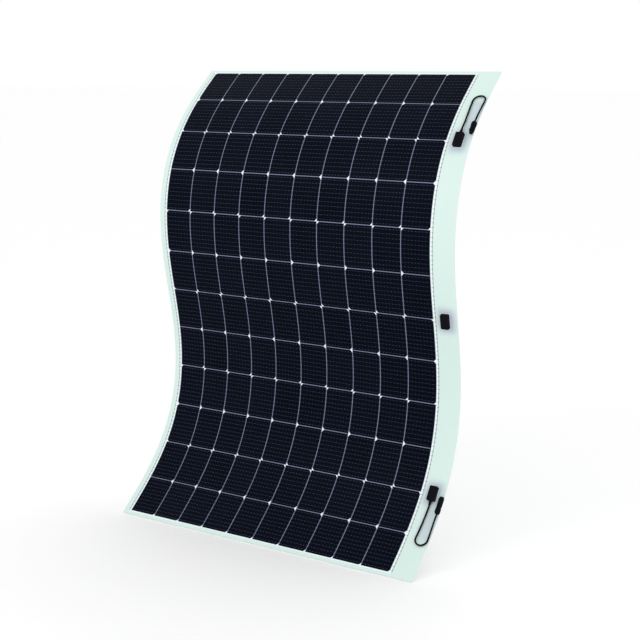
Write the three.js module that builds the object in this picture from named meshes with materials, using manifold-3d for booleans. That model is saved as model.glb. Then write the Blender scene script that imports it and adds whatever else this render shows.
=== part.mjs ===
// Flexible solar sheet: a thin laminate of half-cut cells, bent into a shallow S, with three slim
// junction boxes and two short leads on the front of its wide edge. Millimetres, +Z up.
//
// +X runs along the rows of cells, towards the wide edge with the boxes. The front faces -Y.
// A place on the sheet is (x, s, t): x across, s along the sheet from its middle row line (positive
// upwards), and t the height above the rear face, towards the front.
import * as THREE from 'three';
import { mergeVertices } from 'three/addons/utils/BufferGeometryUtils.js';
import Module from 'manifold-3d';

const wasm = await Module();
wasm.setup();

// ---- driving dimensions ---------------------------------------------------------------------
const COLUMNS = 10;
const ROWS = 12;
const COLUMN_PITCH = 93;
const ROW_PITCH = 130;
const CELL_GAP = 2;
const CELL_CHAMFER = 6;
const CELL_WIDTH = COLUMN_PITCH - CELL_GAP;
const NARROW_MARGIN = 26; // outer cell edge to the left edge of the sheet
const WIDE_MARGIN = 76; // outer cell edge to the right edge, where the boxes sit
const END_MARGIN = 14; // outer cell edge to the top and bottom edges

const ARRAY_HALF = (COLUMNS * COLUMN_PITCH - CELL_GAP) / 2;
const LEFT_EDGE = -ARRAY_HALF - NARROW_MARGIN;
const RIGHT_EDGE = ARRAY_HALF + WIDE_MARGIN;
const HALF_CURVE = (ROWS * ROW_PITCH) / 2; // the sheet sways through one whole wave over its rows
const HALF_LENGTH = HALF_CURVE - CELL_GAP / 2 + END_MARGIN;

// The lean is the angle between the sheet and the vertical, positive when it leans back going up.
const MEAN_LEAN = THREE.MathUtils.degToRad(20);
const SWAY = THREE.MathUtils.degToRad(32);
const FACET = ROW_PITCH / 2; // the solids follow the curve in flats, one centred on each row line

// Layers of the laminate, as [back, front] heights above the rear face. 0.1 parts neighbours.
const LAYERS = {
  backsheet: [0, 0.6],
  rear_encapsulant: [0.7, 1.1],
  cells: [1.2, 1.5],
  front_encapsulant: [1.6, 2.0],
  front_sheet: [2.1, 2.6],
};
const FRONT = LAYERS.front_sheet[1];

// The laminate bends at four row lines. Each stretch between them is one rigid body.
const SEGMENTS = [
  { name: 'top', from: 0, to: 3 },
  { name: 'upper', from: 3, to: 5 },
  { name: 'middle', from: 5, to: 7 },
  { name: 'lower', from: 7, to: 9 },
  { name: 'bottom', from: 9, to: 12 },
];
const BEND_GAP = 1; // clear slit between two bodies, inside the gap between two rows of cells

const JOINER_HEIGHT = 10; // ten 1 mm ribbons, drawn as one band of the same width
const BUS_WIDTH = 3;
const BUS_OFFSET = 7.5; // outer cell edge to the middle of the bus ribbon
const FACE_GAP = 0.3; // between pieces that touch on the real object

const BOX = { width: 25, length: 44, base: 9.4, lid: 2.8, wall: 2, corner: 3, x: 504 };
const CORNER_STEPS = 2;
const BOX_ROW_LINES = { upper: 2, middle: 6, lower: 10 };
const DIODE = { width: 9, length: 16, height: 4 };
const LEAD_HEIGHT = 8.4; // middle of the cable where it leaves the box
const GLAND = { spigot: 2.5, hole: 2.8, flange: 4.6, tip: 3.2, flangeLength: 3, length: 13 };

const CABLE_DIAMETER = 5;
const CABLE_SIDES = 10;
const CABLE_STEPS = 24;
const CONNECTOR = { radius: 7.4, neck: 5.6, nutRadius: 8.2, nutLength: 16, mouth: 1.8, depth: 12 };
const HOUSINGS = {
  upper: { length: 24, shoulder: 15, tip: 4.6 }, // slim, with a bevelled tip
  lower: { length: 35, shoulder: 31, tip: 6.4 }, // longer and blunt
};
const CONNECTOR_SIDES = 16;

// Each lead doubles back in a narrow loop towards its own end of the sheet. Route points are
// (x, distance from the sheet's middle, height), after the straight stretch out of the gland.
const CABLE_ROUTE = [
  [503.6, 584, 7.4],
  [502.2, 612, 6.8],
  [500.6, 640, 6.7],
  [499.5, 662, 6.8],
  [502, 671.4, 6.9],
  [508.9, 678.2, 7],
  [518.3, 680.8, 7.1],
  [527.6, 678.2, 7.2],
  [534.5, 671.4, 7.4],
  [537, 662, 7.7],
  [537, 640, 9],
  [537, 618, 10.8],
  [537, 598, 12.2],
];
const CONNECTOR_X = 537;
const CONNECTOR_END = 578; // distance of the nut's cable end from the sheet's middle
const CONNECTOR_HEIGHT = 12.6;

// ---- materials ------------------------------------------------------------------------------
const finish = (color, roughness, metalness = 0) =>
  new THREE.MeshStandardMaterial({ color, roughness, metalness });
const MATERIALS = {
  backsheet: finish('#e9ecea', 0.6),
  encapsulant: finish('#dfe9ea', 0.2),
  frontSheet: finish('#ddf3ec', 0.25),
  cell: finish('#10141f', 0.3),
  ribbon: finish('#9aa0a8', 0.35, 0.8),
  box: finish('#121418', 0.55),
  diode: finish('#26282b', 0.5),
  cable: finish('#0e0f11', 0.6),
};

const root = new THREE.Group();

function add(name, geometry, material, parent = root) {
  const mesh = new THREE.Mesh(geometry, material);
  mesh.name = name;
  parent.add(mesh);
  return mesh;
}

// ---- the bent surface -----------------------------------------------------------------------
const lean = (s) => MEAN_LEAN - SWAY * Math.cos((Math.PI * s) / HALF_CURVE);
const rowLine = (line) => HALF_CURVE - line * ROW_PITCH;
const direction = (k) => new THREE.Vector3(0, Math.sin(lean(k * FACET)), Math.cos(lean(k * FACET)));
const normal = (k) => new THREE.Vector3(0, -Math.cos(lean(k * FACET)), Math.sin(lean(k * FACET)));
const LAST_FLAT = HALF_CURVE / FACET;

// Middle of flat k on the rear face, counted from the flat at the sheet's middle.
function flatCentre(k) {
  const point = new THREE.Vector3();
  const way = Math.sign(k);
  for (let i = 0; i !== k; i += way) {
    point.addScaledVector(direction(i), (way * FACET) / 2);
    point.addScaledVector(direction(i + way), (way * FACET) / 2);
  }
  return point;
}

const flatOf = (s) => THREE.MathUtils.clamp(Math.round(s / FACET), -LAST_FLAT, LAST_FLAT);

// The point (x, s, t) on flat k, mitred where flat k meets its neighbour.
function onFlat(k, x, s, t) {
  const along = s - k * FACET;
  const point = flatCentre(k).addScaledVector(direction(k), along);
  const isEdge = Math.abs(Math.abs(along) - FACET / 2) < 1e-6;
  const neighbour = k + Math.sign(along);
  const offset = normal(k);
  if (isEdge && Math.abs(neighbour) <= LAST_FLAT) {
    const share = 1 + normal(k).dot(normal(neighbour));
    offset.add(normal(neighbour)).divideScalar(share);
  }
  point.addScaledVector(offset, t);
  point.x = x;
  return point;
}

// The smooth surface that touches every flat at its middle, for what lies loose on the sheet.
function onCurve(x, s, t) {
  const k = Math.min(Math.floor(s / FACET), LAST_FLAT - 1);
  const u = s / FACET - k;
  const from = flatCentre(k);
  const corner = from.clone().addScaledVector(direction(k), FACET / 2);
  const to = flatCentre(k + 1);
  const first = corner.clone().sub(from).multiplyScalar(1 - u);
  const tangent = first.add(to.clone().sub(corner).multiplyScalar(u)).normalize();
  const point = from.multiplyScalar((1 - u) ** 2);
  point.addScaledVector(corner, 2 * u * (1 - u)).addScaledVector(to, u ** 2);
  point.add(new THREE.Vector3(x, -tangent.z * t, tangent.y * t));
  return point;
}

// A closed plate of constant thickness made of flat polygons. Each polygon is {k, outline}, with
// its outline in (x, s), counter-clockwise seen from the front, and neighbours share whole edges.
function plate(polygons, [back, front]) {
  const positions = [];
  const push = (...points) => points.forEach((p) => positions.push(p.x, p.y, p.z));
  const key = ([x, s]) => `${x.toFixed(3)},${s.toFixed(3)}`;
  const edges = new Set();
  for (const { outline } of polygons) {
    outline.forEach((a, i) => edges.add(`${key(a)} ${key(outline[(i + 1) % outline.length])}`));
  }
  for (const { k, outline } of polygons) {
    const flat = outline.map(([x, s]) => new THREE.Vector2(x, s));
    const rear = outline.map(([x, s]) => onFlat(k, x, s, back));
    const face = outline.map(([x, s]) => onFlat(k, x, s, front));
    for (const [a, b, c] of THREE.ShapeUtils.triangulateShape(flat, [])) {
      push(face[a], face[b], face[c]);
      push(rear[a], rear[c], rear[b]);
    }
    outline.forEach((a, i) => {
      const j = (i + 1) % outline.length;
      if (edges.has(`${key(outline[j])} ${key(a)}`)) return;
      push(rear[i], rear[j], face[j]);
      push(rear[i], face[j], face[i]);
    });
  }
  const geometry = new THREE.BufferGeometry();
  geometry.setAttribute('position', new THREE.Float32BufferAttribute(positions, 3));
  geometry.computeVertexNormals();
  return geometry;
}

// The flats between two places along the sheet, as [k, low s, high s].
function flatsBetween(low, high) {
  const spans = [];
  for (let k = flatOf(low + 1e-6); k <= flatOf(high - 1e-6); k += 1) {
    const isLast = k === LAST_FLAT;
    const isFirst = k === -LAST_FLAT;
    const bottom = isFirst ? low : Math.max(low, (k - 0.5) * FACET);
    const top = isLast ? high : Math.min(high, (k + 0.5) * FACET);
    spans.push([k, bottom, top]);
  }
  return spans;
}

const rectangle = (left, right, low, high) => [[left, low], [right, low], [right, high], [left, high]];

function strip(left, right, low, high, layer) {
  const polygons = flatsBetween(low, high).map(([k, bottom, top]) => ({
    k,
    outline: rectangle(left, right, bottom, top),
  }));
  return plate(polygons, layer);
}

// ---- laminate -------------------------------------------------------------------------------
function segmentRange({ from, to }) {
  const high = from === 0 ? HALF_LENGTH : rowLine(from) - BEND_GAP / 2;
  const low = to === ROWS ? -HALF_LENGTH : rowLine(to) + BEND_GAP / 2;
  return [low, high];
}

function addLaminate() {
  for (const segment of SEGMENTS) {
    const [low, high] = segmentRange(segment);
    const sheet = (layer) => strip(LEFT_EDGE, RIGHT_EDGE, low, high, LAYERS[layer]);
    add(`backsheet_${segment.name}`, sheet('backsheet'), MATERIALS.backsheet);
    add(`rear_encapsulant_${segment.name}`, sheet('rear_encapsulant'), MATERIALS.encapsulant);
    add(`front_encapsulant_${segment.name}`, sheet('front_encapsulant'), MATERIALS.encapsulant);
    add(`front_sheet_${segment.name}`, sheet('front_sheet'), MATERIALS.frontSheet);
  }
}

// Thin flat ribbons that collect the current down both sides of the array.
function addBusRibbons() {
  for (const [side, way] of [['left', -1], ['right', 1]]) {
    const x = way * (ARRAY_HALF + BUS_OFFSET);
    for (const segment of SEGMENTS) {
      const [low, high] = segmentRange(segment);
      const bottom = Math.max(low, -HALF_CURVE);
      const top = Math.min(high, HALF_CURVE);
      const geometry = strip(x - BUS_WIDTH / 2, x + BUS_WIDTH / 2, bottom, top, LAYERS.cells);
      add(`bus_ribbon_${side}_${segment.name}`, geometry, MATERIALS.ribbon);
    }
  }
}

// ---- cells ----------------------------------------------------------------------------------
const cellLeft = (column) => -ARRAY_HALF + column * COLUMN_PITCH;

// Cuts the numbered corner off an outline, the same distance along both of its sides.
function cutCorner(outline, corner) {
  const [x, s] = outline[corner];
  const count = outline.length;
  const towards = ([toX, toS]) => [
    x + CELL_CHAMFER * Math.sign(toX - x),
    s + CELL_CHAMFER * Math.sign(toS - s),
  ];
  const before = towards(outline[(corner + count - 1) % count]);
  const after = towards(outline[(corner + 1) % count]);
  outline.splice(corner, 1, before, after);
  return outline;
}

// Half-cut cells keep two cut-off corners, both on one side, which swaps every second row.
function endCell(column, row, isTop, low, high) {
  const left = cellLeft(column);
  const [leftCorner, rightCorner] = isTop ? [3, 2] : [0, 1];
  const corner = row % 4 < 2 ? leftCorner : rightCorner;
  return cutCorner(rectangle(left, left + CELL_WIDTH, low, high), corner);
}

// The middle band of a row: all its cells in one outline, joined by the ribbon between them.
function joinedCells(middle) {
  const low = middle - FACET / 2;
  const high = middle + FACET / 2;
  const joinLow = middle - JOINER_HEIGHT / 2;
  const joinHigh = middle + JOINER_HEIGHT / 2;
  const reach = ARRAY_HALF + BUS_OFFSET - BUS_WIDTH / 2 - FACE_GAP;
  const lower = [[-reach, joinLow], [cellLeft(0), joinLow]];
  for (let column = 0; column < COLUMNS; column += 1) {
    const left = cellLeft(column);
    const right = left + CELL_WIDTH;
    if (column > 0) lower.push([left, joinLow]);
    lower.push([left, low], [right, low], [right, joinLow]);
  }
  lower.push([reach, joinLow]);
  const upper = lower.map(([x, s]) => [x, s === low ? high : joinHigh]).reverse();
  return [...lower, ...upper];
}

function addCellStrings() {
  for (let row = 0; row < ROWS; row += 1) {
    const middle = rowLine(row + 0.5);
    const high = rowLine(row) - CELL_GAP / 2;
    const low = rowLine(row + 1) + CELL_GAP / 2;
    const k = Math.round(middle / FACET);
    const polygons = [{ k, outline: joinedCells(middle) }];
    for (let column = 0; column < COLUMNS; column += 1) {
      polygons.push({ k: k + 1, outline: endCell(column, row, true, middle + FACET / 2, high) });
      polygons.push({ k: k - 1, outline: endCell(column, row, false, low, middle - FACET / 2) });
    }
    const number = String(row + 1).padStart(2, '0');
    add(`cell_string_${number}`, plate(polygons, LAYERS.cells), MATERIALS.cell);
  }
}

// ---- junction boxes -------------------------------------------------------------------------
// A group standing on flat k: its X is across, its Y up along the sheet and its Z out of the front.
function standOn(k, x) {
  const group = new THREE.Group();
  group.position.copy(onFlat(k, x, k * FACET, 0));
  group.rotation.x = Math.PI / 2 - lean(k * FACET);
  group.updateMatrixWorld();
  root.add(group);
  return group;
}

// Takes one closed shape out of another.
function cut(whole, tool) {
  const [from, away] = [whole, tool].map((geometry) => {
    const bare = geometry.clone().deleteAttribute('normal').deleteAttribute('uv');
    const merged = mergeVertices(bare);
    const vertProperties = merged.getAttribute('position').array;
    const triVerts = Uint32Array.from(merged.getIndex().array);
    return new wasm.Manifold(new wasm.Mesh({ numProp: 3, vertProperties, triVerts }));
  });
  const { vertProperties, triVerts } = from.subtract(away).getMesh();
  const geometry = new THREE.BufferGeometry();
  geometry.setAttribute('position', new THREE.Float32BufferAttribute(vertProperties, 3));
  geometry.setIndex([...triVerts]);
  geometry.computeVertexNormals();
  return geometry;
}

// A block of the box's outline, standing on its underside.
function roundedBlock(height) {
  const outline = new THREE.Shape();
  const [x, y] = [BOX.width / 2 - BOX.corner, BOX.length / 2 - BOX.corner];
  [[x, y], [-x, y], [-x, -y], [x, -y]].forEach(([centreX, centreY], quarter) => {
    const start = (quarter * Math.PI) / 2;
    outline.absarc(centreX, centreY, BOX.corner, start, start + Math.PI / 2);
  });
  return new THREE.ExtrudeGeometry(outline, {
    depth: height,
    bevelEnabled: false,
    curveSegments: CORNER_STEPS,
  });
}

function addJunctionBox(name, line) {
  const k = rowLine(line) / FACET;
  const group = standOn(k, BOX.x);
  const floor = FRONT + FACE_GAP;
  const exit = { upper: 1, lower: -1 }[name];

  const cavity = new THREE.BoxGeometry(BOX.width - 2 * BOX.wall, BOX.length - 2 * BOX.wall, BOX.base);
  cavity.translate(0, 0, BOX.wall + BOX.base / 2);
  let base = cut(roundedBlock(BOX.base), cavity);
  if (exit) {
    const hole = new THREE.CylinderGeometry(GLAND.hole, GLAND.hole, 3 * BOX.wall, CONNECTOR_SIDES);
    hole.translate(0, (exit * BOX.length) / 2, LEAD_HEIGHT - floor);
    base = cut(base, hole);
  }
  add(`junction_box_base_${name}`, base, MATERIALS.box, group).position.z = floor;

  const lidMesh = add(`junction_box_lid_${name}`, roundedBlock(BOX.lid), MATERIALS.box, group);
  lidMesh.position.z = floor + BOX.base + FACE_GAP;

  const diode = new THREE.BoxGeometry(DIODE.width, DIODE.length, DIODE.height);
  const diodeMesh = add(`bypass_diode_${name}`, diode, MATERIALS.diode, group);
  diodeMesh.position.set(0, 0, floor + BOX.wall + FACE_GAP + DIODE.height / 2);
  return { group, exit };
}

// ---- leads ----------------------------------------------------------------------------------
// A turned piece whose profile is [radius, distance along its axis], starting and ending on the axis.
function turned(profile, sides) {
  return new THREE.LatheGeometry(profile.map(([r, y]) => new THREE.Vector2(r, y)), sides);
}

function addGland(name, group, exit) {
  const start = BOX.length / 2;
  const geometry = turned([
    [0, -BOX.wall],
    [GLAND.spigot, -BOX.wall],
    [GLAND.spigot, FACE_GAP],
    [GLAND.flange, FACE_GAP],
    [GLAND.flange, GLAND.flangeLength],
    [GLAND.tip, GLAND.length],
    [0, GLAND.length],
  ], CONNECTOR_SIDES);
  const gland = add(`cable_gland_${name}`, geometry, MATERIALS.box, group);
  gland.position.set(0, exit * start, LEAD_HEIGHT);
  gland.rotation.x = exit > 0 ? 0 : Math.PI;
  const leaves = start + GLAND.length + FACE_GAP;
  return [leaves, leaves + CABLE_DIAMETER].map((y) =>
    group.localToWorld(new THREE.Vector3(0, exit * y, LEAD_HEIGHT)));
}

function addCable(name, exit, leaving, arriving) {
  const route = CABLE_ROUTE.map(([x, s, t]) => onCurve(x, exit * s, t));
  const path = new THREE.CatmullRomCurve3([...leaving, ...route, ...arriving]);
  const section = new THREE.Shape();
  section.absarc(0, 0, CABLE_DIAMETER / 2, 0, 2 * Math.PI);
  const geometry = new THREE.ExtrudeGeometry(section, {
    steps: CABLE_STEPS,
    curveSegments: CABLE_SIDES / 2,
    extrudePath: path,
  });
  add(`cable_${name}`, geometry, MATERIALS.cable);
}

// The plug lies along the sheet, its nut towards the cable. It gives the two last route points.
function addConnector(name, exit) {
  const { radius, neck, nutRadius, nutLength, mouth, depth } = CONNECTOR;
  const housing = HOUSINGS[name];
  const length = nutLength + FACE_GAP + housing.length;
  const middle = CONNECTOR_END - length / 2;
  const group = new THREE.Group();
  group.position.copy(onCurve(CONNECTOR_X, exit * middle, CONNECTOR_HEIGHT));
  group.rotation.x = Math.PI / 2 - lean(middle) + (exit > 0 ? Math.PI : 0);
  root.add(group);
  group.updateMatrixWorld();

  const nut = turned([
    [0, 0],
    [neck, 0],
    [nutRadius, 3],
    [nutRadius, nutLength],
    [0, nutLength],
  ], CONNECTOR_SIDES);
  const nutMesh = add(`connector_nut_${name}`, nut, MATERIALS.box, group);
  nutMesh.position.y = -length / 2;

  const body = turned([
    [0, 0],
    [radius, 0],
    [radius, housing.shoulder],
    [housing.tip, housing.length],
    [mouth, housing.length],
    [mouth, housing.length - depth],
    [0, housing.length - depth],
  ], CONNECTOR_SIDES);
  const bodyMesh = add(`connector_body_${name}`, body, MATERIALS.box, group);
  bodyMesh.position.y = -length / 2 + nutLength + FACE_GAP;
  return [-CABLE_DIAMETER - FACE_GAP, -FACE_GAP].map((y) =>
    group.localToWorld(new THREE.Vector3(0, y - length / 2, 0)));
}

// ---- assembly -------------------------------------------------------------------------------
addLaminate();
addBusRibbons();
addCellStrings();
for (const [name, line] of Object.entries(BOX_ROW_LINES)) {
  const { group, exit } = addJunctionBox(name, line);
  if (exit) {
    const leaving = addGland(name, group, exit);
    const arriving = addConnector(name, exit);
    addCable(name, exit, leaving, arriving);
  }
}

export default root;
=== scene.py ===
"""Looks of the flexible solar sheet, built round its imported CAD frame. Metres, +Z up, front to -Y.

A place on the sheet is (x, s, t): x across, s along the sheet from its middle row line (positive
upwards), and t the height above the rear face, towards the front. UV maps hold (x, s) in metres.
"""

import math

import bpy
import numpy as np
from mathutils import Matrix, Vector


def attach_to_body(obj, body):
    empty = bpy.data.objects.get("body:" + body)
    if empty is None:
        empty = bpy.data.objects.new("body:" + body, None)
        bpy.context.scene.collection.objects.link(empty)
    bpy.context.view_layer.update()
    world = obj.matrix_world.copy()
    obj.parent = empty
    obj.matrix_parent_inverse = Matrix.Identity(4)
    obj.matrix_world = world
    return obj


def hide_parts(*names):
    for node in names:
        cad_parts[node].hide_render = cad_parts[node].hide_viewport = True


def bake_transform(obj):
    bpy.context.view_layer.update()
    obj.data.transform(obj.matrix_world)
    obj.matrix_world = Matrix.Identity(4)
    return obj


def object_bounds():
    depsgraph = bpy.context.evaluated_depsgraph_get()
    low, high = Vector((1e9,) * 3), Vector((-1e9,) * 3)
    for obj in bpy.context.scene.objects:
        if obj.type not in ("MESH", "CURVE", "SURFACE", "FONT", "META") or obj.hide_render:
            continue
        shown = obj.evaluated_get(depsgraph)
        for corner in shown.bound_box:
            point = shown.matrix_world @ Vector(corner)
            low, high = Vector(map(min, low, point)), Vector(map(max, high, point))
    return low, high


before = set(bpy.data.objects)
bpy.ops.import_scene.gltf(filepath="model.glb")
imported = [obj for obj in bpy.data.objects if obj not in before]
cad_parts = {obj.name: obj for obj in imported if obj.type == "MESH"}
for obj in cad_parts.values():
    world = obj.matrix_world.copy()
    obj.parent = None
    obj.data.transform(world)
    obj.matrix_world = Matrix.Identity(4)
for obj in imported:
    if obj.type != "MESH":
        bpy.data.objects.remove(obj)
cad_low, cad_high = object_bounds()

# ---- the CAD's driving dimensions -------------------------------------------------------------
MM = 0.001
COLUMNS = 10
ROWS = 12
COLUMN_PITCH = 93 * MM
ROW_PITCH = 130 * MM
CELL_GAP = 2 * MM
CELL_CHAMFER = 6 * MM
NARROW_MARGIN = 26 * MM
WIDE_MARGIN = 76 * MM
END_MARGIN = 14 * MM
ARRAY_HALF = (COLUMNS * COLUMN_PITCH - CELL_GAP) / 2
LEFT_EDGE = -ARRAY_HALF - NARROW_MARGIN
RIGHT_EDGE = ARRAY_HALF + WIDE_MARGIN
HALF_CURVE = ROWS * ROW_PITCH / 2
ARRAY_TOP = HALF_CURVE - CELL_GAP / 2
HALF_LENGTH = ARRAY_TOP + END_MARGIN
MEAN_LEAN = math.radians(20)
SWAY = math.radians(32)
FACET = ROW_PITCH / 2
LAST_FLAT = round(HALF_CURVE / FACET)
BACKSHEET = 0.6 * MM
FRONT = 2.6 * MM
BUS_OFFSET = 7.5 * MM
BUS_WIDTH = 3 * MM
BOX_X = 504 * MM
BOX_SIZE = (25 * MM, 44 * MM)
BOX_CORNER = 3 * MM
FACE_GAP = 0.3 * MM
BOX_FLOOR = FRONT + FACE_GAP
BOX_BASE = 9.4 * MM
BOX_ROW_LINES = {"upper": 2, "middle": 6, "lower": 10}
BOX_S = 4 * ROW_PITCH  # the upper and the lower box, from the middle one
BOX_BODIES = {"upper": "top", "middle": "middle", "lower": "bottom"}
LEAD_HEIGHT = 8.4 * MM
GLAND_LENGTH = 13 * MM  # out of the box's wall
CABLE_DIAMETER = 5 * MM
LOOP_HEAD = 680.8 * MM  # the far end of each lead's loop, from the sheet's middle
CONNECTOR_X = 537 * MM
CONNECTOR_END = 578 * MM
CONNECTOR_HEIGHT = 12.6 * MM
NUT_LENGTH = 16 * MM
HOUSINGS = {
    "upper": {"length": 24, "shoulder": 15, "tip": 4.6},
    "lower": {"length": 35, "shoulder": 31, "tip": 6.4},
}

# The route of each lead on the sheet, in mm: (x, distance from the middle row line, height).
CABLE_ROUTE = [
    (503.6, 584, 7.4),
    (502.2, 612, 6.8),
    (500.6, 640, 6.7),
    (499.5, 662, 6.8),
    (502, 671.4, 6.9),
    (508.9, 678.2, 7),
    (518.3, 680.8, 7.1),
    (527.6, 678.2, 7.2),
    (534.5, 671.4, 7.4),
    (537, 662, 7.7),
    (537, 640, 9),
    (537, 618, 10.8),
    (537, 598, 12.2),
]

# ---- details that only the looks have ---------------------------------------------------------
WIRES = 10  # thin wires across each cell
WIRE_WIDTH = 0.45 * MM
PADS = 9  # solder pads along each wire of a cell
PAD_SIZE = (1.3 * MM, 1.2 * MM)
END_PAD_SIZE = (2.6 * MM, 1.2 * MM)
BUS_PAD_SIZE = (3.2 * MM, 2.0 * MM)  # where a wire is soldered to the bus ribbon
FINGER_PITCH = 1.45 * MM
FINGER_WIDTH = 0.07 * MM
BAND = 4 * MM  # bare white strip round the array at its two ends
CELL_BACK = FRONT - 0.2 * MM
PATCH_HEIGHT = FRONT + 0.02 * MM
CELL_HEIGHT = FRONT + 0.06 * MM
WIRE_HEIGHT = FRONT + 0.10 * MM
PAD_HEIGHT = FRONT + 0.13 * MM
INNER_STATIONS = 9  # edges along a cell, between its cut corners
WEAVE_PITCH = 1.8 * MM
CORNER_STEPS = 6  # edges round a quarter turn
PATH_STEPS = 6  # edges between two points of a lead's route

# Each pair of rows is one strip of skin. A strip over a hinge lies over two bodies.
STRIPS = [
    {"rows": (0, 2), "body": "top"},
    {"rows": (2, 4), "bodies": ("upper", "top")},
    {"rows": (4, 6), "bodies": ("middle", "upper")},
    {"rows": (6, 8), "bodies": ("middle", "lower")},
    {"rows": (8, 10), "bodies": ("lower", "bottom")},
    {"rows": (10, 12), "body": "bottom"},
]


# ---- the bent surface -------------------------------------------------------------------------
def lean(s):
    return MEAN_LEAN - SWAY * math.cos(math.pi * s / HALF_CURVE)


def row_line(line):
    return HALF_CURVE - line * ROW_PITCH


def flat_tangent(k):
    return np.array((math.sin(lean(k * FACET)), math.cos(lean(k * FACET))))


def flat_centres():
    """Middle of every flat of the CAD's rear face, as (y, z), by the flat's number."""
    centres = {0: np.zeros(2)}
    for k in range(LAST_FLAT):
        centres[k + 1] = centres[k] + (flat_tangent(k) + flat_tangent(k + 1)) * FACET / 2
        centres[-k - 1] = centres[-k] - (flat_tangent(-k) + flat_tangent(-k - 1)) * FACET / 2
    return centres


CENTRES = flat_centres()


def curve(s):
    """(y, z) and unit tangent of the smooth rear face, which touches every flat at its middle."""
    end = math.copysign(LAST_FLAT, s)
    if abs(s) >= HALF_CURVE:
        return CENTRES[end] + flat_tangent(end) * (s - end * FACET), flat_tangent(end)
    k = math.floor(s / FACET)
    u = s / FACET - k
    first, last = CENTRES[k], CENTRES[k + 1]
    corner = first + flat_tangent(k) * FACET / 2
    point = first * (1 - u) ** 2 + corner * 2 * u * (1 - u) + last * u**2
    along = (corner - first) * (1 - u) + (last - corner) * u
    return point, along / np.linalg.norm(along)


def on_curve(x, s, t):
    point, along = curve(s)
    return Vector((x, point[0] - along[1] * t, point[1] + along[0] * t))


def stations():
    """Every place along the sheet where its skin has an edge, from the bottom to the top."""
    steps = {-HALF_LENGTH, HALF_LENGTH, -ARRAY_TOP - BAND, ARRAY_TOP + BAND}
    edge, patch = CELL_GAP / 2, CELL_GAP + CELL_CHAMFER
    cut = edge + CELL_CHAMFER
    inner = np.linspace(cut, ROW_PITCH - cut, INNER_STATIONS)
    offsets = [0, edge, patch, *inner, ROW_PITCH - patch, ROW_PITCH - edge, ROW_PITCH]
    for row in range(ROWS):
        steps.update(round(row_line(row + 1) + offset, 7) for offset in offsets)
    return sorted(steps)


STATIONS = stations()
RAILS = np.array([np.concatenate(curve(s)) for s in STATIONS])


def place(x, s, t):
    """The point (x, s, t) on the skin, which runs straight from each station to the next."""
    y, z, ty, tz = (np.interp(s, STATIONS, RAILS[:, i]) for i in range(4))
    length = math.hypot(ty, tz)
    return (x, y - tz / length * t, z + ty / length * t)


def facing(way, s):
    """Unit normal of a face of the skin that looks one way, at s."""
    ty, tz = (np.interp(s, STATIONS, RAILS[:, i]) for i in (2, 3))
    length = math.hypot(ty, tz)
    ty, tz = ty / length, tz / length
    return {
        "front": (0, -tz, ty),
        "rear": (0, tz, -ty),
        "up": (0, ty, tz),
        "down": (0, -ty, -tz),
        "left": (-1, 0, 0),
        "right": (1, 0, 0),
    }[way]


def between(low, high):
    return [s for s in STATIONS if low - 1e-6 <= s <= high + 1e-6]


class Skin:
    """Faces laid on the bent sheet, with shared corners, exact normals and (x, s) as UV."""

    def __init__(self):
        self.index = {}
        self.points = []
        self.faces = []
        self.normals = []
        self.uvs = []
        self.kinds = []

    def corner(self, x, s, t):
        key = (round(x, 6), round(s, 6), round(t, 6))
        if key not in self.index:
            self.index[key] = len(self.points)
            self.points.append(place(x, s, t))
        return self.index[key]

    def face(self, corners, way, kind=0):
        ring = {self.corner(*corner): corner for corner in corners}
        self.faces.append(list(ring))
        self.normals.extend(facing(way, s) for _, s, _ in ring.values())
        self.uvs.extend((x, s) for x, s, _ in ring.values())
        self.kinds.append(kind)

    def lay(self, lefts, rights, steps, t, kind=0):
        """Front faces between two edges that are given at each step along the sheet."""
        spans = zip(lefts, lefts[1:], rights, rights[1:], steps, steps[1:])
        for l0, l1, r0, r1, low, high in spans:
            self.face([(l0, low, t), (r0, low, t), (r1, high, t), (l1, high, t)], "front", kind)

    def sides(self, lefts, rights, steps, back, front, kind=0):
        for edge, way in ((lefts, "left"), (rights, "right")):
            for x0, x1, low, high in zip(edge, edge[1:], steps, steps[1:]):
                ring = [(x0, low, back), (x0, low, front), (x1, high, front), (x1, high, back)]
                self.face(ring if way == "left" else ring[::-1], way, kind)

    def end(self, left, right, s, back, front, way):
        ring = [(left, s, back), (right, s, back), (right, s, front), (left, s, front)]
        self.face(ring if way == "down" else ring[::-1], way)

    def rear(self, left, right, steps, t):
        for low, high in zip(steps, steps[1:]):
            ring = [(left, low, t), (left, high, t), (right, high, t), (right, low, t)]
            self.face(ring, "rear")

    def build(self, name, materials):
        mesh = bpy.data.meshes.new(name)
        mesh.from_pydata(self.points, [], self.faces)
        layer = mesh.uv_layers.new(name="UVMap")
        layer.data.foreach_set("uv", np.array(self.uvs, np.float32).ravel())
        mesh.polygons.foreach_set("material_index", self.kinds)
        mesh.polygons.foreach_set("use_smooth", [True] * len(self.faces))
        mesh.normals_split_custom_set(self.normals)
        for material in materials:
            mesh.materials.append(material)
        obj = bpy.data.objects.new(name, mesh)
        bpy.context.scene.collection.objects.link(obj)
        return obj


# ---- materials --------------------------------------------------------------------------------
EMBOSSING = 700.0  # dimples per metre in the front film
PAINTED_SHADE_COLOR = (0.45, 0.49, 0.61)  # painted shade: a violet-grey shadow painted on the margin close round the boxes and their leads
# How far the painted shade reaches from the boxes and from the leads, and how dark it is at its
# fullest.
BOX_PAINTED_SHADE = {"reach": 30 * MM, "strength": 0.65}
LEAD_PAINTED_SHADE = {"reach": 26 * MM, "strength": 0.42}
LEAD_SHADE_PATCH = (20 * MM, 100 * MM)  # the painted shade is full inside this, between the two runs of a lead


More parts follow.
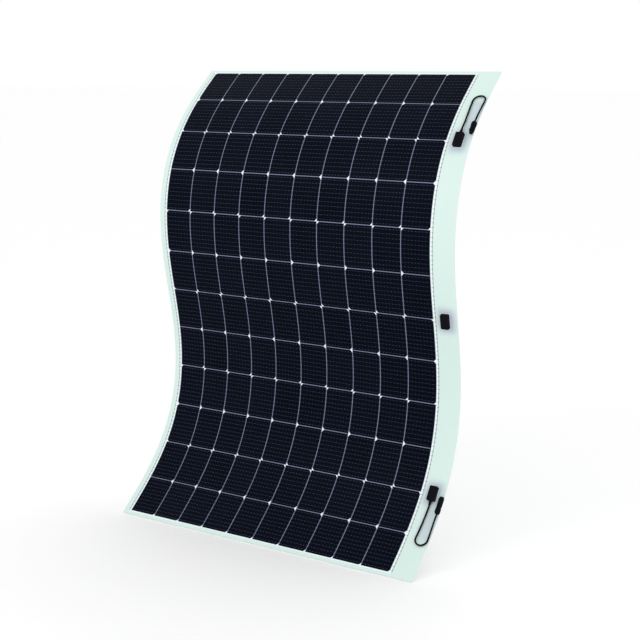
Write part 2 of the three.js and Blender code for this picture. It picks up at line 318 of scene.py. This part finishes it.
def principled(name, color, roughness, **values):
    """A material whose numbers that are the same all over sit on the shader's own sockets."""
    material = bpy.data.materials.new(name)
    material.use_nodes = True
    shader = material.node_tree.nodes["Principled BSDF"]
    shader.inputs["Base Color"].default_value = (*color, 1)
    shader.inputs["Roughness"].default_value = roughness
    for socket, value in values.items():
        shader.inputs[socket.replace("_", " ")].default_value = value
    return material


def node(material, kind, **values):
    made = material.node_tree.nodes.new(kind)
    for key, value in values.items():
        if key in made.inputs:
            made.inputs[key].default_value = value
        else:
            setattr(made, key, value)
    return made


def link(material, source, target):
    material.node_tree.links.new(source, target)


def shader_input(material, name):
    return material.node_tree.nodes["Principled BSDF"].inputs[name]


def coordinates(material, output):
    return node(material, "ShaderNodeTexCoord").outputs[output]


def sheet_coordinates(material):
    """The UV vector, and its x and s, in metres."""
    surface = coordinates(material, "UV")
    split = node(material, "ShaderNodeSeparateXYZ")
    link(material, surface, split.inputs["Vector"])
    return surface, split.outputs["X"], split.outputs["Y"]


def noise(material, vector, scale, detail=2.0):
    texture = node(material, "ShaderNodeTexNoise", Scale=scale, Detail=detail)
    link(material, vector, texture.inputs["Vector"])
    return texture.outputs["Fac"]


def mix_colors(material, factor, first, second):
    """The colour between two others, by a factor from 0 to 1. Each is a colour or a socket."""
    mix = node(material, "ShaderNodeMix", data_type="RGBA")
    link(material, factor, mix.inputs["Factor"])
    for name, value in (("A", first), ("B", second)):
        socket = next(i for i in mix.inputs if i.name == name and i.type == "RGBA")
        if isinstance(value, tuple):
            socket.default_value = (*value, 1)
        else:
            link(material, value, socket)
    return next(o for o in mix.outputs if o.type == "RGBA")


def calculate(material, operation, first, second=None):
    math_node = node(material, "ShaderNodeMath", operation=operation)
    for socket, value in zip(math_node.inputs, (first, second)):
        if value is None:
            continue
        if isinstance(value, (int, float)):
            socket.default_value = value
        else:
            link(material, value, socket)
    return math_node.outputs["Value"]


def remap(material, factor, low, high, full=1.0):
    """Goes from low to high while the factor goes from 0 to full."""
    ranged = node(material, "ShaderNodeMapRange", interpolation_type="SMOOTHSTEP")
    ranged.inputs["From Max"].default_value = full
    ranged.inputs["To Min"].default_value = low
    ranged.inputs["To Max"].default_value = high
    link(material, factor, ranged.inputs["Value"])
    return ranged.outputs["Result"]


def bump(material, height, distance, strength):
    bumped = node(material, "ShaderNodeBump", Strength=strength, Distance=distance)
    link(material, height, bumped.inputs["Height"])
    link(material, bumped.outputs["Normal"], shader_input(material, "Normal"))


def film(name, light, dark, roughness=(0.3, 0.42)):
    """Clear embossed film over a pale layer: soft tone changes and a fine dimpled surface."""
    material = principled(name, light, 0.35, Specular_IOR_Level=0.15)
    surface = coordinates(material, "UV")
    tone = noise(material, surface, 4.0, 3.0)
    link(material, mix_colors(material, tone, light, dark), shader_input(material, "Base Color"))
    rough = remap(material, noise(material, surface, 60.0), *roughness)
    link(material, rough, shader_input(material, "Roughness"))
    bump(material, noise(material, surface, EMBOSSING, 1.0), 0.04 * MM, 0.25)
    return material


def lines(material, along, pitch, width):
    """1 on lines of a width round every whole number of pitches, 0 between them."""
    shifted = calculate(material, "ADD", along, width / 2)
    phase = calculate(material, "FRACT", calculate(material, "MULTIPLY", shifted, 1 / pitch))
    return calculate(material, "LESS_THAN", phase, width / pitch)


def margin_material():
    """Mint film, with a soft violet-grey shadow painted close round the boxes and their leads."""
    material = film("film_over_margin_painted_shade", (0.65, 0.825, 0.765), (0.69, 0.815, 0.78))
    _, x, s = sheet_coordinates(material)

    def outside(along, middle, length):
        offset = calculate(material, "ABSOLUTE", calculate(material, "SUBTRACT", along, middle))
        return calculate(material, "MAXIMUM", calculate(material, "SUBTRACT", offset, length / 2), 0.0)

    def painted_shade(along, middle, size, reach, strength):
        """Painted shade: full on a rectangle of the given middle and size, and gone at the reach from
        it.
        """
        beyond = outside(x, middle[0], size[0]), outside(along, middle[1], size[1])
        squares = [calculate(material, "MULTIPLY", value, value) for value in beyond]
        distance = calculate(material, "SQRT", calculate(material, "ADD", *squares))
        return remap(material, distance, strength, 0.0, reach)

    from_box_line = calculate(material, "PINGPONG", s, BOX_S / 2)
    shade_round_boxes = painted_shade(from_box_line, (BOX_X, 0.0), BOX_SIZE, **BOX_PAINTED_SHADE)
    from_middle = calculate(material, "ABSOLUTE", s)
    lead_middle = (BOX_X + CONNECTOR_X) / 2, (BOX_S + LOOP_HEAD) / 2
    shade_round_leads = painted_shade(from_middle, lead_middle, LEAD_SHADE_PATCH, **LEAD_PAINTED_SHADE)
    # Painted shade: the darker of the two painted shadows, mixed over the plain mint.
    shade = calculate(material, "MAXIMUM", shade_round_boxes, shade_round_leads)
    base_color = shader_input(material, "Base Color")
    plain = base_color.links[0].from_socket
    link(material, mix_colors(material, shade, plain, PAINTED_SHADE_COLOR), base_color)
    return material


def cell_material():
    """Near-black silicon: hair-thin fingers along the sheet, and cells of slightly unlike tones."""
    navy, dusk, finger = (0.0013, 0.0028, 0.0076), (0.0022, 0.0039, 0.0098), (0.0075, 0.0105, 0.019)
    material = principled("silicon", navy, 0.34, Specular_IOR_Level=0.018)
    surface, x, s = sheet_coordinates(material)

    column = calculate(material, "FLOOR", calculate(material, "MULTIPLY", x, 1 / COLUMN_PITCH))
    row = calculate(material, "FLOOR", calculate(material, "MULTIPLY", s, 1 / ROW_PITCH))
    number = node(material, "ShaderNodeCombineXYZ")
    link(material, column, number.inputs["X"])
    link(material, row, number.inputs["Y"])
    chance = node(material, "ShaderNodeTexWhiteNoise")
    link(material, number.outputs["Vector"], chance.inputs["Vector"])
    tone = mix_colors(material, chance.outputs["Value"], navy, dusk)

    fingers = lines(material, x, FINGER_PITCH, FINGER_WIDTH)
    color = mix_colors(material, fingers, tone, finger)
    link(material, color, shader_input(material, "Base Color"))
    rough = remap(material, noise(material, surface, 90.0), 0.30, 0.42)
    link(material, rough, shader_input(material, "Roughness"))
    bump(material, noise(material, surface, EMBOSSING, 1.0), 0.05 * MM, 0.2)
    return material


def back_material():
    """White fibre-reinforced film: a fine weave, and the cells showing through very faintly."""
    white, shaded = (0.80, 0.84, 0.83), (0.68, 0.72, 0.735)
    material = principled("backsheet", white, 0.5)
    surface, x, s = sheet_coordinates(material)

    def waves(along):
        turns = calculate(material, "MULTIPLY", along, 2 * math.pi / WEAVE_PITCH)
        return calculate(material, "SINE", turns)

    def inside(along, half):
        return calculate(material, "LESS_THAN", calculate(material, "ABSOLUTE", along), half)

    between_columns = lines(material, x, COLUMN_PITCH, CELL_GAP)
    between_rows = lines(material, s, ROW_PITCH, CELL_GAP)
    gaps = calculate(material, "MAXIMUM", between_columns, between_rows)
    over_cells = calculate(material, "MULTIPLY", inside(x, ARRAY_HALF), inside(s, ARRAY_TOP))
    shade = calculate(material, "MULTIPLY", over_cells, calculate(material, "SUBTRACT", 1.0, gaps))
    color = mix_colors(material, shade, white, shaded)
    mottled = mix_colors(material, noise(material, surface, 5.0, 3.0), color, (0.75, 0.80, 0.785))
    link(material, mottled, shader_input(material, "Base Color"))
    rough = remap(material, noise(material, surface, 45.0), 0.42, 0.58)
    link(material, rough, shader_input(material, "Roughness"))
    weave = calculate(material, "MULTIPLY", waves(x), waves(s))
    bump(material, weave, 0.06 * MM, 0.5)
    return material


def tinned(name, dull, bright):
    """Tinned copper seen through the film, a little duller here and there."""
    material = principled(name, dull, 0.4, Specular_IOR_Level=0.2)
    tone = noise(material, coordinates(material, "UV"), 300.0)
    link(material, mix_colors(material, tone, dull, bright), shader_input(material, "Base Color"))
    link(material, remap(material, tone, 0.3, 0.5), shader_input(material, "Roughness"))
    return material


def plastic(name, color, roughness, grain):
    """Black moulding: a fine eroded grain, a slight change of tone and scuffed high spots."""
    material = principled(name, color, roughness, Specular_IOR_Level=0.05)
    space = coordinates(material, "Object")
    tone = noise(material, space, 40.0, 4.0)
    paler = tuple(1.8 * c + 0.001 for c in color)
    link(material, mix_colors(material, tone, color, paler), shader_input(material, "Base Color"))
    rough = remap(material, noise(material, space, 220.0), roughness - 0.07, roughness + 0.1)
    link(material, rough, shader_input(material, "Roughness"))
    bump(material, noise(material, space, grain, 3.0), 0.08 * MM, 0.3)
    return material


BORDER = margin_material()
WHITE_BAND = film("film_over_white", (0.78, 0.90, 0.92), (0.84, 0.91, 0.93))
# The white back seen between the cells through the encapsulant: tinted lavender, and darkened with
# painted shade of the cell edges.
GAP = film("film_between_cells_painted_edge_shade", (0.18, 0.21, 0.34), (0.24, 0.275, 0.40))
SILICON = cell_material()
BACK = back_material()
WIRE = tinned("cell_wire", (0.013, 0.016, 0.030), (0.026, 0.030, 0.050))
PAD = tinned("solder_pad", (0.083, 0.095, 0.15), (0.14, 0.16, 0.235))
BUS = tinned("bus_ribbon", (0.40, 0.44, 0.45), (0.50, 0.54, 0.54))
DIODE_PLASTIC = plastic("diode_plastic", (0.010, 0.010, 0.012), 0.45, 900.0)
BOX_PLASTIC = plastic("box_plastic", (0.0024, 0.0026, 0.0046), 0.5, 1400.0)
PLUG_PLASTIC = plastic("plug_plastic", (0.0022, 0.0023, 0.0042), 0.42, 900.0)
CABLE_JACKET = plastic("cable_jacket", (0.0018, 0.0018, 0.0028), 0.5, 500.0)
SEALANT = film("clear_sealant", (0.62, 0.64, 0.76), (0.68, 0.70, 0.80), (0.2, 0.3))


# ---- laminate skin ----------------------------------------------------------------------------
FRONT_MATERIALS = [BORDER, WHITE_BAND, GAP]
OVER_MARGIN, OVER_WHITE, OVER_GAP = range(3)
RIBBON_MATERIALS = [WIRE, PAD, BUS]
IS_WIRE, IS_PAD, IS_BUS = range(3)


def region(x, s):
    """Which layer the front film lies over, as a number in FRONT_MATERIALS."""
    if abs(x) < ARRAY_HALF and abs(s) < ARRAY_TOP:
        return OVER_GAP
    near = abs(x) < ARRAY_HALF + BUS_OFFSET and abs(s) < ARRAY_TOP + BAND
    return OVER_WHITE if near else OVER_MARGIN


def strip_range(rows):
    high = HALF_LENGTH if rows[0] == 0 else row_line(rows[0])
    low = -HALF_LENGTH if rows[1] == ROWS else row_line(rows[1])
    return low, high


def close_ends(skin, low, high, back, front):
    if low <= -HALF_LENGTH:
        skin.end(LEFT_EDGE, RIGHT_EDGE, low, back, front, "down")
    if high >= HALF_LENGTH:
        skin.end(LEFT_EDGE, RIGHT_EDGE, high, back, front, "up")


def cut_corners(row):
    """The side that both cut corners of a cell are on, which swaps after every two rows."""
    return "left" if row % 4 < 2 else "right"


def front_sheet(name, rows):
    """The clear front with what shows under it outside the cells."""
    low, high = strip_range(rows)
    steps = between(low, high)
    skin = Skin()
    rim = ARRAY_HALF + BUS_OFFSET
    edges = [LEFT_EDGE, -rim, -ARRAY_HALF, ARRAY_HALF, rim, RIGHT_EDGE]
    for left, right in zip(edges, edges[1:]):
        for bottom, top in zip(steps, steps[1:]):
            kind = region((left + right) / 2, (bottom + top) / 2)
            skin.lay([left] * 2, [right] * 2, [bottom, top], FRONT, kind)
    count = len(steps)
    skin.sides([LEFT_EDGE] * count, [RIGHT_EDGE] * count, steps, BACKSHEET, FRONT)
    skin.rear(LEFT_EDGE, RIGHT_EDGE, steps, BACKSHEET)
    close_ends(skin, low, high, BACKSHEET, FRONT)
    for row in range(*rows):
        for column in range(COLUMNS):
            add_corner_patches(skin, row, column)
    return skin.build(name, FRONT_MATERIALS)


def add_corner_patches(skin, row, column):
    """White back that shows where a cell's two corners are cut off."""
    reach = CELL_GAP + CELL_CHAMFER
    way = 1 if cut_corners(row) == "left" else -1
    line = -ARRAY_HALF - CELL_GAP / 2 + (column + (way < 0)) * COLUMN_PITCH
    for edge, inward in ((row_line(row + 1), 1), (row_line(row), -1)):
        steps = between(min(edge, edge + inward * reach), max(edge, edge + inward * reach))
        depths = [reach - abs(s - edge) for s in steps]
        tips = [line + way * depth for depth in depths]
        feet = [line] * len(steps)
        lefts, rights = (feet, tips) if way > 0 else (tips, feet)
        skin.lay(lefts, rights, steps, PATCH_HEIGHT, OVER_WHITE)


def back_sheet(name, rows):
    low, high = strip_range(rows)
    steps = between(low, high)
    skin = Skin()
    skin.rear(LEFT_EDGE, RIGHT_EDGE, steps, 0)
    skin.sides([LEFT_EDGE] * len(steps), [RIGHT_EDGE] * len(steps), steps, 0, BACKSHEET)
    close_ends(skin, low, high, 0, BACKSHEET)
    return skin.build(name, [BACK])


def cells(name, rows):
    """One thin plate per cell, two of its corners cut off."""
    skin = Skin()
    for row in range(*rows):
        low = row_line(row + 1) + CELL_GAP / 2
        high = row_line(row) - CELL_GAP / 2
        steps = between(low, high)
        cuts = [max(0.0, CELL_CHAMFER - min(s - low, high - s)) for s in steps]
        on_left = cut_corners(row) == "left"
        for column in range(COLUMNS):
            left = -ARRAY_HALF + column * COLUMN_PITCH
            right = left + COLUMN_PITCH - CELL_GAP
            lefts = [left + cut * on_left for cut in cuts]
            rights = [right - cut * (not on_left) for cut in cuts]
            skin.lay(lefts, rights, steps, CELL_HEIGHT)
            skin.sides(lefts, rights, steps, CELL_BACK, CELL_HEIGHT)
            skin.end(lefts[0], rights[0], low, CELL_BACK, CELL_HEIGHT, "down")
            skin.end(lefts[-1], rights[-1], high, CELL_BACK, CELL_HEIGHT, "up")
    return skin.build(name, [SILICON])


def wires(name, rows):
    """Thin wires across each row with their solder pads, and the bus ribbon on either side."""
    skin = Skin()
    reach = ARRAY_HALF + BUS_OFFSET
    pitch = (ROW_PITCH - CELL_GAP) / WIRES
    for row in range(*rows):
        for wire in range(WIRES):
            s = row_line(row + 1) + CELL_GAP / 2 + (wire + 0.5) * pitch
            low, high = s - WIRE_WIDTH / 2, s + WIRE_WIDTH / 2
            skin.lay([-reach] * 2, [reach] * 2, [low, high], WIRE_HEIGHT, IS_WIRE)
            skin.end(-reach, reach, low, FRONT, WIRE_HEIGHT, "down")
            skin.end(-reach, reach, high, FRONT, WIRE_HEIGHT, "up")
            for column in range(COLUMNS):
                add_pads(skin, column, s)
            for x in (-reach, reach):
                add_pad(skin, x, s, BUS_PAD_SIZE)
    low, high = strip_range(rows)
    steps = between(max(low, -HALF_CURVE), min(high, HALF_CURVE))
    for way in (-1, 1):
        x = way * (ARRAY_HALF + BUS_OFFSET)
        lefts, rights = [x - BUS_WIDTH / 2] * len(steps), [x + BUS_WIDTH / 2] * len(steps)
        skin.lay(lefts, rights, steps, CELL_HEIGHT, IS_BUS)
        skin.sides(lefts, rights, steps, FRONT, CELL_HEIGHT, IS_BUS)
    return skin.build(name, RIBBON_MATERIALS)


def add_pads(skin, column, s):
    """The solder pads of one wire on one cell, longer at the cell's two sides."""
    left = -ARRAY_HALF + column * COLUMN_PITCH + END_PAD_SIZE[0] / 2
    right = left + COLUMN_PITCH - CELL_GAP - END_PAD_SIZE[0]
    for pad, x in enumerate(np.linspace(left, right, PADS)):
        add_pad(skin, x, s, END_PAD_SIZE if pad in (0, PADS - 1) else PAD_SIZE)


def add_pad(skin, x, s, size):
    width, height = size
    edges = [x - width / 2] * 2, [x + width / 2] * 2
    skin.lay(*edges, [s - height / 2, s + height / 2], PAD_HEIGHT, IS_PAD)


def attach(piece, strip):
    """A piece rides on its strip's body; a piece over a hinge only has its transform baked into its
    mesh.
    """
    if "body" in strip:
        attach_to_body(piece, strip["body"])
        return
    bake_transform(piece)


def add_skin():
    for strip in STRIPS:
        first, last = strip["rows"]
        rows = f"rows_{first + 1:02d}_{last:02d}"
        bodies = [strip["body"]] if "body" in strip else strip["bodies"]
        strings = [f"cell_string_{row + 1:02d}" for row in range(first, last)]
        made = [
            (front_sheet(f"front_sheet_{rows}", strip["rows"]), "front_sheet",
             [f"{layer}_{b}" for b in bodies for layer in ("front_sheet", "front_encapsulant")]),
            (back_sheet(f"backsheet_{rows}", strip["rows"]), "backsheet",
             [f"{layer}_{b}" for b in bodies for layer in ("backsheet", "rear_encapsulant")]),
            (cells(f"cells_{rows}", strip["rows"]), "cell", strings),
            (wires(f"wires_{rows}", strip["rows"]), "ribbon",
             [f"bus_ribbon_{side}_{b}" for b in bodies for side in ("left", "right")]),
        ]
        for piece, slot, nodes in made:
            attach(piece, strip)
            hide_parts(*nodes)


# ---- mouldings --------------------------------------------------------------------------------
def mesh_object(name, points, faces, material, matrix, sharp_angle=35):
    mesh = bpy.data.meshes.new(name)
    mesh.from_pydata([matrix @ Vector(p) for p in points], [], faces)
    mesh.validate()
    mesh.shade_smooth()
    mesh.set_sharp_from_angle(angle=math.radians(sharp_angle))
    mesh.materials.append(material)
    obj = bpy.data.objects.new(name, mesh)
    bpy.context.scene.collection.objects.link(obj)
    return obj


def loft(rings):
    """Points and faces of a skin through rings with equal numbers of points, with both ends closed."""
    count = len(rings[0])
    points = [p for ring in rings for p in ring]
    faces = []
    for i in range(len(rings) - 1):
        for j in range(count):
            a, b = i * count + j, i * count + (j + 1) % count
            faces.append((a, b, b + count, a + count))
    faces.append(tuple(range(count))[::-1])
    faces.append(tuple(range(len(points) - count, len(points))))
    return points, faces


def rounded_rectangle(width, length, radius, z):
    """Points of an outline with round corners, counter-clockwise seen from +Z."""
    ring = []
    for corner, (x, y) in enumerate(((1, 1), (-1, 1), (-1, -1), (1, -1))):
        for step in range(CORNER_STEPS + 1):
            turn = (corner + step / CORNER_STEPS) * math.pi / 2
            px = x * (width / 2 - radius) + radius * math.cos(turn)
            py = y * (length / 2 - radius) + radius * math.sin(turn)
            ring.append((px, py, z))
    return ring


def stack(sections):
    """Rings of the box outline drawn in by an inset at a height, both in mm: [(inset, height)]."""
    width, length = BOX_SIZE
    rings = []
    for inset, height in sections:
        radius = max(BOX_CORNER - inset * MM, 0.6 * MM)
        drawn_in = 2 * inset * MM
        ring = rounded_rectangle(width - drawn_in, length - drawn_in, radius, height * MM)
        rings.append(ring)
    return rings


def join_parts(parts):
    """One list of points and faces from several."""
    points, faces = [], []
    for part_points, part_faces in parts:
        start = len(points)
        points.extend(part_points)
        faces.extend(tuple(i + start for i in face) for face in part_faces)
    return points, faces


def block(centre, size, edge):
    """A small block with its upper edges cut at 45 degrees, in mm."""
    (x, y, z), (width, length, height) = centre, size
    rings = []
    for inset, level in ((0, -0.5), (0, 0.5 - edge / height), (edge, 0.5)):
        w, l = width / 2 - inset, length / 2 - inset
        rings.append([((x + a * w) * MM, (y + b * l) * MM, (z + level * height) * MM)
                      for a, b in ((1, 1), (-1, 1), (-1, -1), (1, -1))])
    return loft(rings)


def standing_on(line, x):
    """Places X across, Y up along the sheet and Z out of its front, on the flat at a row line."""
    s = row_line(line)
    point, along = curve(s)
    across, out = Vector((1, 0, 0)), Vector((0, -along[1], along[0]))
    up = Vector((0, along[0], along[1]))
    matrix = Matrix((across, up, out)).transposed().to_4x4()
    matrix.translation = Vector((x, point[0], point[1]))
    return matrix


def box_base(name, matrix):
    top = BOX_BASE / MM
    rings = stack([(0.3, 0), (0, 0.5), (0.15, top - 0.9), (0.6, top - 0.4), (0.9, top)])
    clip_x = BOX_SIZE[0] / 2 / MM - 0.1
    clips = [
        block((side * clip_x, y, top - 1.0), (1.0, 6, 5.2), 0.3)
        for side in (-1, 1)
        for y in (-12, 12)
    ]
    return mesh_object(name, *join_parts([loft(rings), *clips]), BOX_PLASTIC, matrix)


def box_lid(name, matrix):
    base = (BOX_BASE + FACE_GAP) / MM
    sections = [(0.9, 0), (0.1, 0.35), (0.1, 1.9), (0.45, 2.5), (1.1, 2.8)]
    panel = [(4.0, 2.8), (4.3, 2.45)]
    rings = stack([(inset, base + height) for inset, height in sections + panel])
    ribs = [block((x, 0, base + 2.6), (0.9, 24, 0.5), 0.15) for x in (-5, -1.7, 1.7, 5)]
    return mesh_object(name, *join_parts([loft(rings), *ribs]), BOX_PLASTIC, matrix)


def box_sealant(name, matrix):
    """The bead that the box is bonded down with, squeezed out a little all round."""
    outline = [(0.6, 0.9), (-0.3, 1.0), (-1.1, 0.6), (-1.6, -0.2), (-1.5, -0.9)]
    return mesh_object(name, *loft(stack(outline)), SEALANT, matrix, 60)


def turned(profile, sides=48, flutes=0, depth=0.0):
    """Rings about +Y from (radius, y) in mm. Flutes are grooves pressed into the outer radius."""
    rings = []
    for radius, y in profile:
        ring = []
        for i in range(sides):
            turn = 2 * math.pi * i / sides
            r = radius - depth * (0.5 - 0.5 * math.cos(flutes * turn)) if flutes else radius
            ring.append((r * MM * math.cos(turn), y * MM, -r * MM * math.sin(turn)))
        rings.append(ring)
    return loft(rings)


def gland(name, matrix):
    profile = [(4.6, -0.4), (4.6, 2.6), (4.2, 3.0), (3.9, 3.3)]
    for rib in range(3):
        y = 3.6 + rib * 2.9
        radius = 4.15 - rib * 0.28
        groove = radius - 0.6
        profile += [(groove, y), (radius, y + 0.4), (radius, y + 1.5), (groove, y + 1.9)]
    profile += [(2.95, 12.4), (2.75, 13.0), (2.6, 13.5)]
    return mesh_object(name, *turned(profile), CABLE_JACKET, matrix)


def plug_nut(name, matrix):
    collar = turned([(2.65, -0.6), (2.9, 0.0), (5.3, 0.0), (5.8, 0.4), (7.3, 3.0), (7.6, 3.6)])
    grip = turned([(7.8, 3.6), (8.2, 4.2), (8.2, 14.6), (7.8, 15.2)], 96, 12, 0.7)
    lip = turned([(7.2, 15.2), (7.2, 16.0)])
    return mesh_object(name, *join_parts([collar, grip, lip]), PLUG_PLASTIC, matrix)


def plug_body(name, matrix, length, shoulder, tip):
    """The housing: a thread, a grooved barrel that tapers to its tip, latch arms and ridges."""
    thread = [(6.1, -0.9), (6.1, 0.0)]
    rim = [(6.8, 0.0), (7.4, 0.6), (7.4, 3.6), (7.0, 4.0), (7.0, 5.0), (7.4, 5.4)]
    taper = [(7.4, shoulder - 0.8), (7.1, shoulder), (tip + 0.4, length - 0.7), (tip - 0.2, length)]
    mouth = [(2.3, length), (1.8, length - 0.5), (1.8, length - 8)]
    barrel = turned(thread + rim + taper + mouth)
    middle = (5.4 + shoulder) / 2
    arms = [block((side * 6.6, middle, 0), (2.4, shoulder - 7, 4.6), 0.5) for side in (-1, 1)]
    ridges = [
        block((0, middle + 2 * step, side * 7.1), (6, 1.0, 1.2), 0.3)
        for step in (-1.5, -0.5, 0.5, 1.5)
        for side in (-1, 1)
    ]
    return mesh_object(name, *join_parts([barrel, *arms, *ridges]), PLUG_PLASTIC, matrix)


# ---- leads ------------------------------------------------------------------------------------
def smooth_path(points):
    """Points of a curve through the given ones, close enough together to look round."""
    knots = [points[0] * 2 - points[1], *points, points[-1] * 2 - points[-2]]
    path = []
    for a, b, c, d in zip(knots, knots[1:], knots[2:], knots[3:]):
        for step in range(PATH_STEPS):
            u = step / PATH_STEPS
            path.append(0.5 * (2 * b + (c - a) * u + (2 * a - 5 * b + 4 * c - d) * u**2
                               + (3 * b - a - 3 * c + d) * u**3))
    return [*path, points[-1]]


def cable(name, points):
    data = bpy.data.curves.new(name, "CURVE")
    data.dimensions = "3D"
    spline = data.splines.new("POLY")
    path = smooth_path(points)
    spline.points.add(len(path) - 1)
    for knot, point in zip(spline.points, path):
        knot.co = (*point, 1)
    data.bevel_depth = CABLE_DIAMETER / 2
    data.bevel_resolution = 8
    data.use_fill_caps = True
    data.materials.append(CABLE_JACKET)
    obj = bpy.data.objects.new(name, data)
    bpy.context.scene.collection.objects.link(obj)
    return obj


def add_lead(name, way, box_matrix, body):
    """The gland, cable and plug of one box. way is 1 towards the top of the sheet, -1 down."""
    half_turn = Matrix.Rotation(0 if way > 0 else math.pi, 4, "X")
    wall = Matrix.Translation((0, way * BOX_SIZE[1] / 2, LEAD_HEIGHT))
    exit_matrix = box_matrix @ wall @ half_turn
    relief = gland(f"strain_relief_{name}", exit_matrix)
    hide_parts(f"cable_gland_{name}")

    shape = HOUSINGS[name]
    length = NUT_LENGTH + FACE_GAP + shape["length"] * MM
    middle = CONNECTOR_END - length / 2
    matrix = Matrix.Rotation(math.pi / 2 - lean(middle) + (math.pi if way > 0 else 0), 4, "X")
    matrix.translation = on_curve(CONNECTOR_X, way * middle, CONNECTOR_HEIGHT)
    nut_matrix = matrix @ Matrix.Translation((0, -length / 2, 0))
    nut = plug_nut(f"plug_nut_{name}", nut_matrix)
    housing_matrix = nut_matrix @ Matrix.Translation((0, NUT_LENGTH + FACE_GAP, 0))
    housing = plug_body(f"plug_body_{name}", housing_matrix, **shape)
    for piece, cad_node in ((nut, f"connector_nut_{name}"), (housing, f"connector_body_{name}")):
        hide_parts(cad_node)

    leaves, arrives = GLAND_LENGTH + FACE_GAP, -FACE_GAP
    leaving = [exit_matrix @ Vector((0, y, 0)) for y in (leaves, leaves + CABLE_DIAMETER)]
    route = [on_curve(x * MM, way * s * MM, t * MM) for x, s, t in CABLE_ROUTE]
    arriving = [nut_matrix @ Vector((0, y, 0)) for y in (arrives - CABLE_DIAMETER, arrives)]
    lead = cable(f"lead_{name}", leaving + route + arriving)
    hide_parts(f"cable_{name}")
    for piece in (relief, nut, housing, lead):
        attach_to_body(piece, body)


def add_boxes():
    for name, line in BOX_ROW_LINES.items():
        body = BOX_BODIES[name]
        ground = standing_on(line, BOX_X)
        matrix = ground @ Matrix.Translation((0, 0, BOX_FLOOR))
        base = box_base(f"box_base_{name}", matrix)
        lid = box_lid(f"box_lid_{name}", matrix)
        bead = box_sealant(f"box_sealant_{name}", matrix)
        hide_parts(f"junction_box_base_{name}")
        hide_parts(f"junction_box_lid_{name}")
        for piece, slot in ((base, "box"), (lid, "box"), (bead, "encapsulant")):
            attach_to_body(piece, body)
        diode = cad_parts[f"bypass_diode_{name}"]
        diode.data.materials.clear()
        diode.data.materials.append(DIODE_PLASTIC)
        if name != "middle":
            add_lead(name, 1 if name == "upper" else -1, ground, body)


# ---- camera, light and floor ------------------------------------------------------------------
VIEW_AZIMUTH = math.radians(31.7)
VIEW_ELEVATION = math.radians(11.7)
VIEW_DISTANCE = 3.737
AIM = (0.0725, -0.052)  # how far right of the origin and above it the camera looks
LENS = 69.4
KEY = {"place_at": (-1.6, -3.2, 2.6), "size": 1.6, "power": 14}
FILL = {"place_at": (3.2, -2.0, 1.2), "size": 2.4, "power": 10}
FLOOR_REACH = 60
FLOOR_CLEARANCE = 1 * MM


def add_camera():
    level = math.cos(VIEW_ELEVATION)
    right = Vector((math.cos(VIEW_AZIMUTH), math.sin(VIEW_AZIMUTH), 0))
    back = Vector((right.y * level, -right.x * level, math.sin(VIEW_ELEVATION)))
    up = back.cross(right)
    camera = bpy.data.objects.new("camera", bpy.data.cameras.new("camera"))
    camera.data.lens = LENS
    matrix = Matrix((right, up, back)).transposed().to_4x4()
    matrix.translation = back * VIEW_DISTANCE + right * AIM[0] + up * AIM[1]
    camera.matrix_world = matrix
    bpy.context.scene.collection.objects.link(camera)
    bpy.context.scene.camera = camera


def add_light(name, place_at, size, power):
    """A square area light that faces the origin."""
    light = bpy.data.objects.new(name, bpy.data.lights.new(name, "AREA"))
    light.data.size = size
    light.data.energy = power
    light.location = place_at
    light.rotation_euler = (-Vector(place_at)).to_track_quat("-Z", "Y").to_euler()
    bpy.context.scene.collection.objects.link(light)


def add_studio():
    scene = bpy.context.scene
    scene.view_settings.view_transform = "Standard"
    world = bpy.data.worlds.new("studio")
    world.use_nodes = True
    sky = world.node_tree.nodes["Background"]
    sky.inputs["Color"].default_value = (1, 1, 1, 1)
    sky.inputs["Strength"].default_value = 1.0
    scene.world = world

    add_light("key", **KEY)
    add_light("fill", **FILL)

    floor_mesh = bpy.data.meshes.new("floor")
    level = cad_low.z - FLOOR_CLEARANCE
    ring = [(x * FLOOR_REACH, y * FLOOR_REACH, level) for x, y in ((-1, -1), (1, -1), (1, 1), (-1, 1))]
    floor_mesh.from_pydata(ring, [], [(0, 1, 2, 3)])
    floor_mesh.materials.append(principled("floor", (0.99, 0.99, 0.99), 0.9))
    floor = bpy.data.objects.new("floor", floor_mesh)
    scene.collection.objects.link(floor)


add_camera()
add_studio()
add_skin()
add_boxes()
